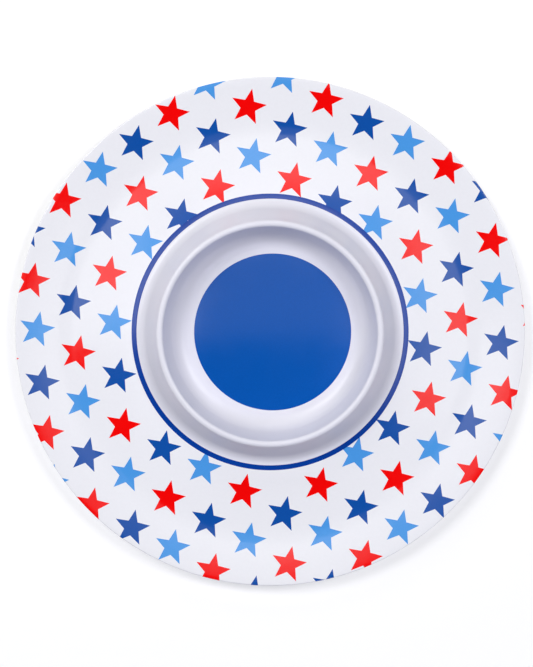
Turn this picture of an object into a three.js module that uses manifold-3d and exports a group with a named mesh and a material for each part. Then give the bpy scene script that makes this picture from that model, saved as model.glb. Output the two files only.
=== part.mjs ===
// A round one-piece chip and dip server in moulded melamine, in millimetres with +Z up.
// The origin is the centre of the foot ring's resting face, and every piece is turned about Z.
// Headings and slopes are in degrees; radii from the centre line are called "reach".
import * as THREE from "three";
import { mergeVertices } from "three/addons/utils/BufferGeometryUtils.js";
import Module from "manifold-3d";

// Driving dimensions of the moulding
const PLATTER_REACH = 184.6;
const WALL = 3;
const RIM_ROUNDING = 0.8;
const HEM_ROUNDING = 0.5;
const WELL_FLOOR_Z = 4.5;
const WELL_CORNER_BEND = 12.3;
const WELL_WALL_SLOPE = 76.5;
const CREST_REACH = 79.2;
const CREST_Z = 33.5;
const CREST_BEND = 2.6;
const RING_WALL_SLOPE = 75;
const RING_SKIRT_SLOPE = 62;
const RING_KNEE_REACH = 83.3;
const RING_KNEE_BEND = 50;
const TRAY_START_REACH = 98;
const TRAY_START_Z = 9;
const TRAY_SLOPE = 1.5;
const TRAY_START_BEND = 9.3;
const FLANGE_REACH = 148;
const FLANGE_SLOPE = 9;
const FLANGE_BEND = 110;
const LEAST_BEND = 0.5;

// Driving dimensions of the foot ring
const FOOT_REACH = 108;
const FOOT_WIDTH = 4;
const FOOT_DRAFT = 8;
const FOOT_ROOT_BEND = 2.5;

// Driving dimensions of the printed foils
const FOIL = 0.2;
const FOIL_GAP = 0.05;
const BORDER_REACH = 97.2;
const DISC_REACH = 57.3;
const DISC_SHIFT = 1.9;

// Looks: melamine lilac-white, foil white and print blue, all under the same gloss
const MELAMINE_COLOR = 0xe6e6f0;
const FOIL_COLOR = 0xebebee;
const PRINT_COLOR = 0x245fae;
const GLOSS_ROUGHNESS = 0.2;

// Fineness of the turned shapes: sectors in a turn, and how far a chord may stand off its arc
const SECTORS = 60;
const CHORD_ERROR = 0.2;

const rad = THREE.MathUtils.degToRad;

// A corner of a section: where its two straight stretches would meet, and the radius that rounds it.
function corner(reach, z, bend = 0) {
  return { at: new THREE.Vector2(reach, z), bend };
}

// Where the line through a with one slope crosses the line through b with another.
function crossing(a, slopeA, b, slopeB) {
  const riseA = Math.tan(rad(slopeA));
  const riseB = Math.tan(rad(slopeB));
  const reach = (b.y - a.y + riseA * a.x - riseB * b.x) / (riseA - riseB);
  return new THREE.Vector2(reach, a.y + riseA * (reach - a.x));
}

function headings(corners) {
  return corners.slice(1).map((to, i) => to.at.clone().sub(corners[i].at).normalize());
}

// The points of an open section: straight stretches, with an arc at each corner that has a bend.
function roundedPoints(corners) {
  const ways = headings(corners);
  const points = [corners[0].at.clone()];
  for (let i = 1; i < corners.length - 1; i++) {
    const { at, bend } = corners[i];
    const turn = Math.atan2(ways[i - 1].cross(ways[i]), ways[i - 1].dot(ways[i]));
    if (bend === 0) {
      points.push(at.clone());
      continue;
    }
    const tangent = bend * Math.tan(Math.abs(turn) / 2);
    const start = at.clone().addScaledVector(ways[i - 1], -tangent);
    const side = new THREE.Vector2(-ways[i - 1].y, ways[i - 1].x).multiplyScalar(Math.sign(turn) * bend);
    const centre = start.clone().add(side);
    const steps = Math.ceil(Math.abs(turn) / (2 * Math.acos(1 - CHORD_ERROR / bend)));
    for (let step = 0; step <= steps; step++) {
      points.push(start.clone().rotateAround(centre, (turn * step) / steps));
    }
  }
  points.push(corners.at(-1).at.clone());
  return points;
}

// The same section moved to the right of its own direction, which for the face is into the wall.
function insetCorners(corners, depth) {
  const ways = headings(corners);
  return corners.map(({ at, bend }, i) => {
    const before = ways[Math.max(i - 1, 0)];
    const after = ways[Math.min(i, ways.length - 1)];
    const turn = Math.atan2(before.cross(after), before.dot(after));
    const right = new THREE.Vector2(before.y, -before.x).add(new THREE.Vector2(after.y, -after.x)).normalize();
    const moved = at.clone().addScaledVector(right, depth / Math.cos(turn / 2));
    return { at: moved, bend: bend && Math.max(bend + Math.sign(turn) * depth, LEAST_BEND) };
  });
}

// The part of a section that lies beyond a reach, starting exactly on it.
function beyond(points, reach) {
  const next = points.findIndex((point) => point.x > reach);
  const share = (reach - points[next - 1].x) / (points[next].x - points[next - 1].x);
  return [points[next - 1].clone().lerp(points[next], share), ...points.slice(next)];
}

function within(points, reach) {
  return points.filter((point) => point.x < reach);
}

// The corners of the face, from the middle of the well out to the widest point of the rim.
function faceCorners() {
  const crestCentre = new THREE.Vector2(CREST_REACH, CREST_Z - CREST_BEND);
  const crestTangent = (slope) => {
    return new THREE.Vector2(0, CREST_BEND).rotateAround(new THREE.Vector2(), rad(slope)).add(crestCentre);
  };
  const wellSide = crestTangent(WELL_WALL_SLOPE);
  const traySide = crestTangent(-RING_WALL_SLOPE);
  const wellCorner = crossing(new THREE.Vector2(0, WELL_FLOOR_Z), 0, wellSide, WELL_WALL_SLOPE);
  const crest = crossing(wellSide, WELL_WALL_SLOPE, traySide, -RING_WALL_SLOPE);
  const kneeRise = Math.tan(rad(RING_WALL_SLOPE)) * (RING_KNEE_REACH - crest.x);
  const knee = new THREE.Vector2(RING_KNEE_REACH, crest.y - kneeRise);
  const trayStart = crossing(
    knee,
    -RING_SKIRT_SLOPE,
    new THREE.Vector2(TRAY_START_REACH, TRAY_START_Z),
    TRAY_SLOPE,
  );
  const flangeZ = trayStart.y + Math.tan(rad(TRAY_SLOPE)) * (FLANGE_REACH - trayStart.x);
  const rimZ = flangeZ + Math.tan(rad(FLANGE_SLOPE)) * (PLATTER_REACH - FLANGE_REACH);
  const widestZ = rimZ - RIM_ROUNDING * Math.tan(rad((90 + FLANGE_SLOPE) / 2));
  return [
    corner(0, WELL_FLOOR_Z),
    corner(wellCorner.x, wellCorner.y, WELL_CORNER_BEND),
    corner(crest.x, crest.y, CREST_BEND),
    corner(knee.x, knee.y, RING_KNEE_BEND),
    corner(trayStart.x, trayStart.y, TRAY_START_BEND),
    corner(FLANGE_REACH, flangeZ, FLANGE_BEND),
    corner(PLATTER_REACH, rimZ, RIM_ROUNDING),
    corner(PLATTER_REACH, widestZ),
  ];
}

// The four corners of the foot ring, from its outer root inwards, on a given underside line.
function footCorners(lineStart, slope) {
  const lean = 90 - FOOT_DRAFT;
  const outerToe = new THREE.Vector2(FOOT_REACH + FOOT_WIDTH / 2, 0);
  const innerToe = new THREE.Vector2(FOOT_REACH - FOOT_WIDTH / 2, 0);
  const outerRoot = crossing(outerToe, lean, lineStart, slope);
  const innerRoot = crossing(innerToe, -lean, lineStart, slope);
  return [
    corner(outerRoot.x, outerRoot.y, FOOT_ROOT_BEND),
    corner(outerToe.x, outerToe.y),
    corner(innerToe.x, innerToe.y),
    corner(innerRoot.x, innerRoot.y, FOOT_ROOT_BEND),
  ];
}

// The underside, from the widest point of the rim back to the centre line.
function undersideCorners(face) {
  const under = insetCorners(face, WALL);
  const [rim, widest] = face.slice(-2);
  const hem = corner(PLATTER_REACH, rim.at.y - WALL / Math.cos(rad(FLANGE_SLOPE)), HEM_ROUNDING);
  const trayStart = under.at(-4);
  const flange = under.at(-3);
  const inner = under.slice(0, -4).reverse();
  return [widest, hem, flange, ...footCorners(trayStart.at, TRAY_SLOPE), trayStart, ...inner];
}

// Turns a section about the centre line, which a lathe makes about Y, and stands it up along Z.
function turned(points) {
  return new THREE.LatheGeometry(points, SECTORS).rotateX(Math.PI / 2);
}

const wasm = await Module();
wasm.setup();

function solidOf(geometry) {
  const bare = geometry.clone().deleteAttribute("normal").deleteAttribute("uv");
  const merged = mergeVertices(bare);
  const vertProperties = merged.attributes.position.array;
  const triVerts = new Uint32Array(merged.index.array);
  return new wasm.Manifold(new wasm.Mesh({ numProp: 3, vertProperties, triVerts }));
}

function geometryOf(solid) {
  const mesh = solid.getMesh();
  const geometry = new THREE.BufferGeometry();
  geometry.setAttribute("position", new THREE.BufferAttribute(mesh.vertProperties, 3));
  geometry.setIndex(new THREE.BufferAttribute(mesh.triVerts, 1));
  const faceted = geometry.toNonIndexed();
  faceted.computeVertexNormals();
  return faceted;
}

// A flat disc standing on the plane z, in the place of the well's off-centre print.
function disc(reach, z, thickness) {
  return new THREE.CylinderGeometry(reach, reach, thickness, SECTORS)
    .rotateX(Math.PI / 2)
    .translate(DISC_SHIFT, 0, z + thickness / 2);
}

// The moulded shell, with a shallow seat for each foil.
function melamineBody(face) {
  const seatReach = BORDER_REACH - FOIL_GAP;
  const seatDepth = FOIL + FOIL_GAP;
  const seat = roundedPoints(insetCorners(face, seatDepth));
  const section = [
    ...within(roundedPoints(face), seatReach),
    beyond(roundedPoints(face), seatReach)[0],
    ...beyond(seat, seatReach),
    ...roundedPoints(undersideCorners(face)),
  ];
  const seatTool = disc(DISC_REACH + FOIL_GAP, WELL_FLOOR_Z - seatDepth, 2 * seatDepth);
  return geometryOf(solidOf(turned(section.reverse())).subtract(solidOf(seatTool)));
}

// The printed foil of the tray, from the border line over the flange to the widest point of the rim.
function trayDecal(face) {
  const top = beyond(roundedPoints(face), BORDER_REACH);
  const back = beyond(roundedPoints(insetCorners(face, FOIL)), BORDER_REACH);
  const section = [...top, ...back.reverse(), top[0].clone()];
  return turned(section.reverse());
}

function wellDecal() {
  return disc(DISC_REACH, WELL_FLOOR_Z - FOIL, FOIL);
}

function piece(name, geometry, color) {
  const material = new THREE.MeshStandardMaterial({ color, roughness: GLOSS_ROUGHNESS, metalness: 0 });
  const mesh = new THREE.Mesh(geometry, material);
  mesh.name = name;
  return mesh;
}

const face = faceCorners();
const server = new THREE.Group();
server.add(piece("melamine_body", melamineBody(face), MELAMINE_COLOR));
server.add(piece("tray_decal", trayDecal(face), FOIL_COLOR));
server.add(piece("well_decal", wellDecal(), PRINT_COLOR));

export default server;
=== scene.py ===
"""Looks for a round one-piece chip and dip server in moulded melamine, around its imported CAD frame.

Lengths are in metres, slopes and headings in degrees. A section is a line in the plane of the
turning axis, and each of its points is one complex number: reach from the axis + height * 1j.
The printed tray foil is laid out flat, cut along its stars, and then pressed onto the tray's face.
"""

import cmath
import math
from collections import namedtuple

import bpy
import numpy as np
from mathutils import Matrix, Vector
from mathutils.geometry import delaunay_2d_cdt


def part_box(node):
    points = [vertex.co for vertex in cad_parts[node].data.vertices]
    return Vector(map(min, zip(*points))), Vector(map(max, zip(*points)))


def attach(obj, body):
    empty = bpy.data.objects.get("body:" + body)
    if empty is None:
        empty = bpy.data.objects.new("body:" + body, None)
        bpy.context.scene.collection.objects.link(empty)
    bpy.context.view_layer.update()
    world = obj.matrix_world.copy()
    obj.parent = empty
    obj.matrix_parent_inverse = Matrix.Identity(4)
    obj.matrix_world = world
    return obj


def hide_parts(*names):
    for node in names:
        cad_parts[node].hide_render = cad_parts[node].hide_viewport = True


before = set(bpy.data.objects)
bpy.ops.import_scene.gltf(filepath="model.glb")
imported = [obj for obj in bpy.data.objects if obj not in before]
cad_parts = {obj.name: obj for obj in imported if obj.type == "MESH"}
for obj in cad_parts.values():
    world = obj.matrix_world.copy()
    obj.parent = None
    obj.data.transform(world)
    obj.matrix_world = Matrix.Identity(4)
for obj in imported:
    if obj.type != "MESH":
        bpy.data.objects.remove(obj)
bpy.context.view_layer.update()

MM = 0.001

# Sizes read from the frame
SHELL_LOW, SHELL_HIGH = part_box("melamine_body")
TRAY_LOW, TRAY_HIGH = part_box("tray_decal")
DISC_LOW, DISC_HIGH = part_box("well_decal")
PLATTER_REACH = SHELL_HIGH.x
CREST_Z = SHELL_HIGH.z
RIM_TOP_Z = TRAY_HIGH.z
WELL_FLOOR_Z = DISC_HIGH.z
FOIL = DISC_HIGH.z - DISC_LOW.z
DISC_REACH = (DISC_HIGH.y - DISC_LOW.y) / 2
DISC_SHIFT = (DISC_HIGH.x + DISC_LOW.x) / 2

# The moulding's section
WALL = 3 * MM
RIM_ROUNDING = 0.8 * MM
HEM_ROUNDING = 0.5 * MM
WELL_CORNER_BEND = 12.3 * MM
WELL_WALL_SLOPE = 76.5
CREST_REACH = 79.2 * MM
CREST_BEND = 2.6 * MM
RING_WALL_SLOPE = 75
RING_SKIRT_SLOPE = 62
RING_KNEE_REACH = 83.3 * MM
RING_KNEE_BEND = 50 * MM
TRAY_SLOPE = 1.5
TRAY_START_BEND = 9.3 * MM
FLANGE_REACH = 148 * MM
FLANGE_SLOPE = 9
FLANGE_BEND = 110 * MM
LEAST_BEND = 0.5 * MM
FOOT_REACH = 108 * MM
FOOT_WIDTH = 4 * MM
FOOT_DRAFT = 8
FOOT_ROOT_BEND = 2.5 * MM
FOOT_TOE_BEND = 0.6 * MM

# The print: a border line, and rows of stars that slant down to the left in three inks
BORDER_REACH = 97.2 * MM
BORDER_WIDTH = 3.6 * MM
STAR_TIP_REACH = 13.5 * MM
STAR_WAIST_REACH = 5.7 * MM
STAR_TURN = 6
STAR_POINTS = 5
FIRST_STAR = complex(39.84, 168.11) * MM
STEP_IN_ROW = complex(55.58, 4.82) * MM
STEP_OF_ROWS = complex(-78.50, -62.68) * MM
ROWS = 9
INK_SHIFTS = {
    "red": 0,
    "navy": complex(-26.15, -21.26) * MM,
    "light_blue": complex(-52.35, -40.42) * MM,
}

# The materials: bare melamine, the clear glaze, and what most of a noise texture's output lies between
MELAMINE_COLOR = (0.755, 0.75, 0.82)
GLAZE_IOR = 1.52
NOISE_LOW = 0.3
NOISE_HIGH = 0.7

# The studio: the floor, and the backdrop that the camera sees beyond it and the glaze doesn't mirror
FLOOR_HALF = 30.0
FLOOR_GAP = 0.05 * MM
FLOOR_COLOR = (0.62, 0.62, 0.62)
FLOOR_GLOW = 0.40
BACKDROP_COLOR = (0.95, 0.95, 0.95, 1)
MIRRORED_COLOR = (0.01, 0.01, 0.012, 1)

# The camera: its lean from straight down, the place it aims at, and the picture's height in platters
CAMERA_DISTANCE = 1.5
CAMERA_LEAN = 3
AIM_X = -2.6 * MM
AIM_Y = -0.8 * MM
PICTURE_HEIGHT = 1.3082
SENSOR_HEIGHT = 24

# Fineness of the meshes
SECTORS = 240
CHORD_ERROR = 0.005 * MM
LONGEST_STRETCH = 5 * MM
SHARP_ANGLE = 35
SEAT_GAP = 0.05 * MM
SAME_PLACE = 1e-6 * MM
CUT_PRECISION = 1e-7

Corner = namedtuple("Corner", "at bend")


def corner(at, bend=0.0):
    return Corner(at, bend)


def direction(slope):
    return cmath.rect(1, math.radians(slope))


def cross(a, b):
    return (a.conjugate() * b).imag


def crossing(a, slope_a, b, slope_b):
    """Where the line through a with one slope crosses the line through b with another."""
    way_a = direction(slope_a)
    way_b = direction(slope_b)
    return a + way_a * cross(b - a, way_b) / cross(way_a, way_b)


def unit(a):
    return a / abs(a)


def headings(corners):
    return [unit(to.at - start.at) for start, to in zip(corners, corners[1:])]


def spread(points):
    """The same line with extra points on its long stretches, and none on those of no length."""
    out = points[:1]
    for start, to in zip(points, points[1:]):
        parts = math.ceil((abs(to - start) - SAME_PLACE) / LONGEST_STRETCH)
        out += [start + (to - start) * part / parts for part in range(1, parts + 1)]
    return out


def rounded(corners):
    """The points of a section: straight stretches, with an arc at each corner that has a bend."""
    ways = headings(corners)
    points = [corners[0].at]
    for here, way_in, way_out in zip(corners[1:], ways, ways[1:]):
        if here.bend == 0:
            points.append(here.at)
            continue
        turn = cmath.phase(way_out / way_in)
        start = here.at - way_in * here.bend * math.tan(abs(turn) / 2)
        centre = start + way_in * 1j * math.copysign(here.bend, turn)
        steps = math.ceil(abs(turn) / (2 * math.acos(1 - CHORD_ERROR / here.bend)))
        points += [centre + (start - centre) * cmath.rect(1, turn * i / steps) for i in range(steps + 1)]
    points.append(corners[-1].at)
    return spread(points)


def inset(corners, depth):
    """The same section moved to the right of its own direction, which for the face is into the wall."""
    ways = headings(corners)
    moved = []
    for here, before, after in zip(corners, ways[:1] + ways, ways + ways[-1:]):
        turn = cmath.phase(after / before)
        right = -1j * unit(before + after)
        bend = here.bend and max(here.bend + math.copysign(depth, turn), LEAST_BEND)
        moved.append(corner(here.at + right * depth / math.cos(turn / 2), bend))
    return moved


def point_at(points, reach):
    """Where an outward line of points passes a reach."""
    for start, to in zip(points, points[1:]):
        if start.real <= reach < to.real:
            return start + (to - start) * (reach - start.real) / (to.real - start.real)


def within(points, reach):
    return [point for point in points if point.real < reach] + [point_at(points, reach)]


def beyond(points, reach):
    return [point_at(points, reach)] + [point for point in points if point.real > reach]


def face_corners():
    """The corners of the face, from the middle of the well out to the widest point of the rim."""
    crest_centre = complex(CREST_REACH, CREST_Z - CREST_BEND)
    well_side = crest_centre + 1j * CREST_BEND * direction(WELL_WALL_SLOPE)
    tray_side = crest_centre + 1j * CREST_BEND * direction(-RING_WALL_SLOPE)
    floor_middle = complex(0, WELL_FLOOR_Z)
    well_corner = crossing(floor_middle, 0, well_side, WELL_WALL_SLOPE)
    crest = crossing(well_side, WELL_WALL_SLOPE, tray_side, -RING_WALL_SLOPE)
    knee = crossing(crest, -RING_WALL_SLOPE, complex(RING_KNEE_REACH, 0), 90)
    widest = complex(PLATTER_REACH, RIM_TOP_Z - RIM_ROUNDING)
    rim = widest + 1j * RIM_ROUNDING * math.tan(math.radians(90 + FLANGE_SLOPE) / 2)
    flange = crossing(rim, FLANGE_SLOPE, complex(FLANGE_REACH, 0), 90)
    tray_start = crossing(knee, -RING_SKIRT_SLOPE, flange, TRAY_SLOPE)
    return [
        corner(floor_middle),
        corner(well_corner, WELL_CORNER_BEND),
        corner(crest, CREST_BEND),
        corner(knee, RING_KNEE_BEND),
        corner(tray_start, TRAY_START_BEND),
        corner(flange, FLANGE_BEND),
        corner(rim, RIM_ROUNDING),
        corner(widest),
    ]


def foot_corners(line_start, slope):
    """The corners of the foot ring, from its outer root inwards, on a given underside line."""
    lean = 90 - FOOT_DRAFT
    outer_toe = complex(FOOT_REACH + FOOT_WIDTH / 2, SHELL_LOW.z)
    inner_toe = complex(FOOT_REACH - FOOT_WIDTH / 2, SHELL_LOW.z)
    return [
        corner(crossing(outer_toe, lean, line_start, slope), FOOT_ROOT_BEND),
        corner(outer_toe, FOOT_TOE_BEND),
        corner(inner_toe, FOOT_TOE_BEND),
        corner(crossing(inner_toe, -lean, line_start, slope), FOOT_ROOT_BEND),
    ]


def underside_corners(face):
    """The underside, from the widest point of the rim back to the axis."""
    under = inset(face, WALL)
    rim, widest = face[-2:]
    hem_z = rim.at.imag - WALL / math.cos(math.radians(FLANGE_SLOPE))
    hem = corner(complex(PLATTER_REACH, hem_z), HEM_ROUNDING)
    tray_start, flange = under[-4:-2]
    foot = foot_corners(tray_start.at, TRAY_SLOPE)
    return [widest, hem, flange, *foot, tray_start, *under[-5::-1]]


def ring(point, shift=0.0):
    """A section point turned about the Z axis, or about an axis moved towards +X."""
    turns = [cmath.rect(point.real, math.tau * i / SECTORS) for i in range(SECTORS)]
    return [(turn.real + shift, turn.imag, point.imag) for turn in turns]


def turned_piece(name, rings):
    """A closed skin over rings of equal count, ending in a fan at the middle of each end ring."""
    last = (len(rings) - 1) * SECTORS
    middles = [tuple(np.mean(end, axis=0)) for end in (rings[0], rings[-1])]
    corners = [point for one in rings for point in one] + middles
    first_middle, last_middle = len(corners) - 2, len(corners) - 1
    faces = []
    for here in range(SECTORS):
        after = (here + 1) % SECTORS
        faces.append((first_middle, after, here))
        faces.append((last_middle, last + here, last + after))
        for base in range(0, last, SECTORS):
            faces.append((base + here, base + after, base + SECTORS + after, base + SECTORS + here))
    mesh = bpy.data.meshes.new(name)
    mesh.from_pydata(corners, [], faces)
    mesh.flip_normals()
    mesh.shade_smooth()
    mesh.set_sharp_from_angle(angle=math.radians(SHARP_ANGLE))
    return placed(name, mesh)


def placed(name, mesh):
    mesh.validate()
    piece = bpy.data.objects.new(name, mesh)
    bpy.context.scene.collection.objects.link(piece)
    return piece


def platter_shell(face):
    """The moulded shell, with a shallow seat for the tray's foil and one for the well's disc."""
    seat_reach = BORDER_REACH - SEAT_GAP
    seat_depth = FOIL + SEAT_GAP
    disc_seat = complex(DISC_REACH + SEAT_GAP, WELL_FLOOR_Z - seat_depth)
    disc_seat_edge = complex(DISC_REACH + SEAT_GAP, WELL_FLOOR_Z)
    section = [
        *[point for point in within(rounded(face), seat_reach) if point.real > disc_seat.real + DISC_SHIFT],
        *beyond(rounded(inset(face, seat_depth)), seat_reach),
        *rounded(underside_corners(face))[:-1],
    ]
    rings = [ring(disc_seat, DISC_SHIFT), ring(disc_seat_edge, DISC_SHIFT)]
    rings += [ring(point) for point in section]
    return turned_piece("platter_shell", rings)


def well_disc():
    edge_top = complex(DISC_REACH, WELL_FLOOR_Z)
    edge_bottom = complex(DISC_REACH, WELL_FLOOR_Z - FOIL)
    return turned_piece("well_disc", [ring(edge_top, DISC_SHIFT), ring(edge_bottom, DISC_SHIFT)])


class TrayFace:
    """The printed part of the face, and where each place on the flat foil lands on it."""

    def __init__(self, face):
        points = rounded(face)
        border_end = BORDER_REACH + BORDER_WIDTH
        border = within(beyond(points, BORDER_REACH), border_end)
        line = np.array(border[:-1] + beyond(points, border_end))
        steps = np.diff(line)
        lengths = np.abs(steps)
        ways = np.concatenate([steps[:1] / lengths[:1], steps / lengths, steps[-1:] / lengths[-1:]])
        self.line = line
        self.border_ring = len(border) - 1
        along = np.concatenate([[0], np.cumsum(lengths)])
        self.flat_reach = along - along[self.border_ring] + border_end
        self.normal = 1j * (ways[:-1] + ways[1:]) / np.abs(ways[:-1] + ways[1:])

    def pressed(self, flat):
        """The places on the face, and the face's normals there, of points on the flat foil."""
        reach = np.abs(flat)
        turn = flat / reach

        def along_line(values):
            on_line = np.interp(reach, self.flat_reach, values.real)
            height = np.interp(reach, self.flat_reach, values.imag)
            out = on_line * turn
            return np.stack([out.real, out.imag, height], axis=1)

        return along_line(self.line), along_line(self.normal)


def star(centre):
    """The outline of a star, anticlockwise from its first tip."""
    reaches = (STAR_TIP_REACH, STAR_WAIST_REACH)
    step = 180 / STAR_POINTS
    return [centre + reaches[i % 2] * direction(STAR_TURN + step * i) for i in range(2 * STAR_POINTS)]


def star_centres(shift, furthest):
    """The middles of one ink's stars that reach the foil, from those that lie beyond the border line."""
    span = range(-ROWS, ROWS + 1)
    middles = [FIRST_STAR + shift + i * STEP_IN_ROW + j * STEP_OF_ROWS for i in span for j in span]
    return [middle for middle in middles if BORDER_REACH < abs(middle) < furthest + STAR_TIP_REACH]


def cut_foil(tray):
    """Cuts the flat foil along the border line and the stars, into triangles listed under their inks."""
    turns = np.exp(1j * np.arange(SECTORS) * math.tau / SECTORS)
    outlines = [list(reach * turns) for reach in tray.flat_reach]
    inks = [None] * len(outlines)
    for ink, shift in INK_SHIFTS.items():
        stars = [star(centre) for centre in star_centres(shift, tray.flat_reach[-1])]
        outlines += stars
        inks += [ink] * len(stars)
    corners = [Vector((point.real, point.imag)) for outline in outlines for point in outline]
    starts = np.cumsum([0] + [len(outline) for outline in outlines])
    loops = [list(range(start, end)) for start, end in zip(starts, starts[1:])]
    points, _, triangles, _, _, covers = delaunay_2d_cdt(corners, [], loops, 0, CUT_PRECISION)
    sheets = {"white": [], "border": [], **{ink: [] for ink in INK_SHIFTS}}
    outermost = len(tray.flat_reach) - 1
    for triangle, cover in zip(triangles, covers):
        if outermost not in cover or 0 in cover:
            continue
        if tray.border_ring in cover:
            sheets["border"].append(triangle)
        else:
            found = [inks[i] for i in cover if inks[i]]
            sheets[found[0] if found else "white"].append(triangle)
    flat = np.array([complex(*point) for point in points])
    return flat, sheets


def foil_piece(name, tray, flat, triangles):
    """A closed sheet: triangles on the face, the same ones a foil's thickness deeper, and its edges."""
    used, corners = np.unique(np.array(triangles), return_inverse=True)
    corners = corners.reshape(-1, 3)
    count = len(used)
    top, normals = tray.pressed(flat[used])
    bottom = top - normals * FOIL
    sides = {(a, b) for tri in corners.tolist() for a, b in zip(tri, tri[1:] + tri[:1])}
    edges = sorted(side for side in sides if side[::-1] not in sides)
    under = corners[:, ::-1] + count
    walls = [(b, a, a + count, b + count) for a, b in edges]
    mesh = bpy.data.meshes.new(name)
    mesh.from_pydata(np.concatenate([top, bottom]), [], corners.tolist() + under.tolist() + walls)
    mesh.shade_smooth()
    shown = np.concatenate([normals[corners.ravel()], -normals[under.ravel() - count]])
    left_alone = np.zeros((4 * len(walls), 3))
    mesh.normals_split_custom_set(np.concatenate([shown, left_alone]))
    return placed(name, mesh)


def noise(tree, size, detail):
    """Solid noise in the piece's own space, with features of about the given size."""
    place = tree.nodes.new("ShaderNodeTexCoord")
    texture = tree.nodes.new("ShaderNodeTexNoise")
    texture.inputs["Scale"].default_value = 1 / size
    texture.inputs["Detail"].default_value = detail
    tree.links.new(place.outputs["Object"], texture.inputs["Vector"])
    return texture.outputs["Fac"]


def between(tree, factor, low, high):
    """A factor around one half, stretched to run from low to high."""
    node = tree.nodes.new("ShaderNodeMapRange")
    node.inputs["From Min"].default_value = NOISE_LOW
    node.inputs["From Max"].default_value = NOISE_HIGH
    node.inputs["To Min"].default_value = low
    node.inputs["To Max"].default_value = high
    tree.links.new(factor, node.inputs["Value"])
    return node.outputs["Result"]


def shade(color, strength):
    return [channel * strength for channel in color] + [1]


def tinted(tree, factor, color, spread_of_tone):
    """The colour made a little darker and a little lighter by a factor around one half."""
    mix = tree.nodes.new("ShaderNodeMix")
    mix.data_type = "RGBA"
    tree.links.new(between(tree, factor, 0, 1), mix.inputs["Factor"])
    mix.inputs["A"].default_value = shade(color, 1 - spread_of_tone)
    mix.inputs["B"].default_value = shade(color, 1 + spread_of_tone)
    return mix.outputs["Result"]


def ripple(tree, size, depth):
    """A faint bump of the given depth, as the mould leaves on a glazed face."""
    bump = tree.nodes.new("ShaderNodeBump")
    bump.inputs["Distance"].default_value = depth
    tree.links.new(noise(tree, size, 2), bump.inputs["Height"])
    return bump.outputs["Normal"]


def new_material(name):
    material = bpy.data.materials.new(name)
    material.use_nodes = True
    shader = material.node_tree.nodes["Principled BSDF"]
    shader.inputs["IOR"].default_value = GLAZE_IOR
    return material, shader


def melamine():
    """Bare lilac-white moulding: cloudy resin, polished by the mould."""
    material, shader = new_material("melamine")
    tree = material.node_tree
    color = tinted(tree, noise(tree, 30 * MM, 3), MELAMINE_COLOR, 0.012)
    tree.links.new(color, shader.inputs["Base Color"])
    tree.links.new(between(tree, noise(tree, 12 * MM, 3), 0.36, 0.42), shader.inputs["Roughness"])
    tree.links.new(ripple(tree, 4 * MM, 0.004 * MM), shader.inputs["Normal"])
    return material


def glazed_print(name, color, spread_of_tone, grain, gloss):
    """Ink or paper under the clear glaze: a fine grain of tone, and the glaze's gloss and ripple."""
    material, shader = new_material(name)
    shader.inputs["Specular IOR Level"].default_value = gloss
    tree = material.node_tree
    tree.links.new(tinted(tree, noise(tree, grain, 4), color, spread_of_tone), shader.inputs["Base Color"])
    tree.links.new(between(tree, noise(tree, 15 * MM, 3), 0.07, 0.10), shader.inputs["Roughness"])
    tree.links.new(ripple(tree, 5 * MM, 0.003 * MM), shader.inputs["Normal"])
    return material


def floor_material():
    material, shader = new_material("floor")
    tree = material.node_tree
    color = tinted(tree, noise(tree, 200 * MM, 2), FLOOR_COLOR, 0.005)
    tree.links.new(color, shader.inputs["Base Color"])
    shader.inputs["Roughness"].default_value = 0.9
    shader.inputs["Specular IOR Level"].default_value = 0.1
    shader.inputs["Emission Color"].default_value = (1, 1, 1, 1)
    shader.inputs["Emission Strength"].default_value = FLOOR_GLOW
    return material


def dress(piece, node, material):
    """Gives a piece its material, hangs it under the root body, and hides the CAD node that it stands for.
    """
    piece.data.materials.append(material)
    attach(piece, "root")
    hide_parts(node)


def server():
    face = face_corners()
    tray = TrayFace(face)
    flat, sheets = cut_foil(tray)
    # Each sheet's piece, slot, colour, spread of tone, size of grain and gloss
    prints = {
        "white": ("tray_foil", "tray_foil", (0.83, 0.83, 0.86), 0.008, 2 * MM, 0.3),
        "border": ("border_line", "ink_navy", (0.002, 0.045, 0.310), 0.06, 0.8 * MM, 0.5),
        "red": ("red_stars", "ink_red", (0.92, 0.0015, 0.0015), 0.03, 0.8 * MM, 0.5),
        "navy": ("navy_stars", "ink_navy", (0.005, 0.078, 0.365), 0.05, 0.8 * MM, 0.5),
        "light_blue": ("light_blue_stars", "ink_light_blue", (0.070, 0.315, 0.750), 0.03, 0.8 * MM, 0.5),
    }
    dress(platter_shell(face), "melamine_body", melamine())
    for sheet, (name, slot, *look) in prints.items():
        dress(foil_piece(name, tray, flat, sheets[sheet]), "tray_decal", glazed_print(name, *look))
    disc_ink = glazed_print("well_disc", (0.002, 0.085, 0.395), 0.06, 0.8 * MM, 0.5)
    dress(well_disc(), "well_decal", disc_ink)


def floor():
    z = SHELL_LOW.z - FLOOR_GAP
    signs = ((-1, -1), (1, -1), (1, 1), (-1, 1))
    corners = [(x * FLOOR_HALF, y * FLOOR_HALF, z) for x, y in signs]
    mesh = bpy.data.meshes.new("floor")
    mesh.from_pydata(corners, [], [(0, 1, 2, 3)])
    piece = placed("floor", mesh)
    piece.data.materials.append(floor_material())


def softbox(name, place, size, radiance, color=(1, 1, 1), level=False):
    """An even rectangular light, level or facing the platter, that the camera doesn't see."""
    light = bpy.data.lights.new(name, "AREA")
    light.shape = "RECTANGLE"
    light.size, light.size_y = size
    light.energy = radiance * math.pi * size[0] * size[1]
    light.color = color
    lamp = bpy.data.objects.new(name, light)
    lamp.location = place
    if not level:
        lamp.rotation_euler = (-lamp.location).to_track_quat("-Z", "Y").to_euler()
    lamp.visible_camera = False
    bpy.context.scene.collection.objects.link(lamp)


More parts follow.
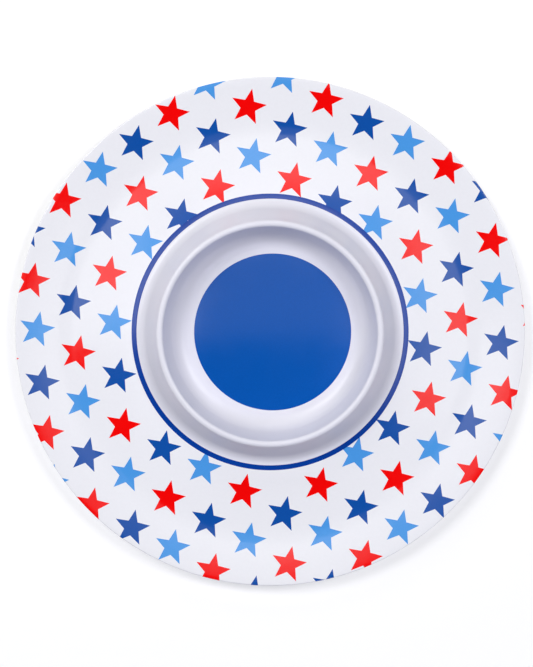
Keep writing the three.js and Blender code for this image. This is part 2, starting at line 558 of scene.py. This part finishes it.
def backdrop():
    """A world that looks pale beyond the floor, and is nearly black to the glaze that would mirror it."""
    world = bpy.data.worlds.new("studio")
    world.use_nodes = True
    tree = world.node_tree
    rays = tree.nodes.new("ShaderNodeLightPath")
    mix = tree.nodes.new("ShaderNodeMix")
    mix.data_type = "RGBA"
    mix.inputs["A"].default_value = MIRRORED_COLOR
    mix.inputs["B"].default_value = BACKDROP_COLOR
    tree.links.new(rays.outputs["Is Camera Ray"], mix.inputs["Factor"])
    tree.links.new(mix.outputs["Result"], tree.nodes["Background"].inputs["Color"])
    return world


def studio():
    """Three large boxes high up, weak panels low down at the sides, and level ones round the camera."""
    softbox("key_box", (-1.15, 0.99, 2.4), (1.2, 0.96), 10.5)
    softbox("right_box", (1.41, 0.64, 2.4), (0.80, 0.88), 12.5)
    softbox("front_box", (0.64, -1.47, 2.4), (1.28, 0.58), 6.2, (0.90, 0.93, 1.22))
    softbox("left_panel", (-1.5, 0.0, 0.7), (0.9, 0.9), 2.0)
    softbox("back_panel", (-0.2, 1.5, 0.9), (1.2, 0.7), 1.9)
    softbox("right_panel", (1.5, -0.4, 0.7), (0.9, 0.9), 0.8)
    softbox("ceiling_left", (-0.18, -0.014, 1.5), (0.14, 0.14), 2.3, level=True)
    softbox("ceiling_back", (0.0, 0.121, 1.5), (0.46, 0.13), 2.1, level=True)
    softbox("ceiling_right", (0.215, -0.054, 1.5), (0.17, 0.22), 1.9, level=True)
    softbox("ceiling_middle", (0.02, -0.014, 1.5), (0.26, 0.14), 0.5, level=True)
    bpy.context.scene.world = backdrop()
    bpy.context.scene.view_settings.view_transform = "Standard"


def camera():
    """Almost straight above the platter, a little behind it, high enough for a gentle perspective."""
    lean = math.radians(CAMERA_LEAN)
    aim = Vector((AIM_X, AIM_Y, TRAY_LOW.z))
    view_height = PICTURE_HEIGHT * 2 * PLATTER_REACH
    rim_distance = CAMERA_DISTANCE - (RIM_TOP_Z - TRAY_LOW.z)
    data = bpy.data.cameras.new("camera")
    data.sensor_fit = "VERTICAL"
    data.sensor_height = SENSOR_HEIGHT
    data.lens = SENSOR_HEIGHT * rim_distance / view_height
    eye = bpy.data.objects.new("camera", data)
    eye.location = aim + CAMERA_DISTANCE * Vector((0, math.sin(lean), math.cos(lean)))
    eye.rotation_euler = (-lean, 0, 0)
    bpy.context.scene.collection.objects.link(eye)
    bpy.context.scene.camera = eye


server()
floor()
studio()
camera()
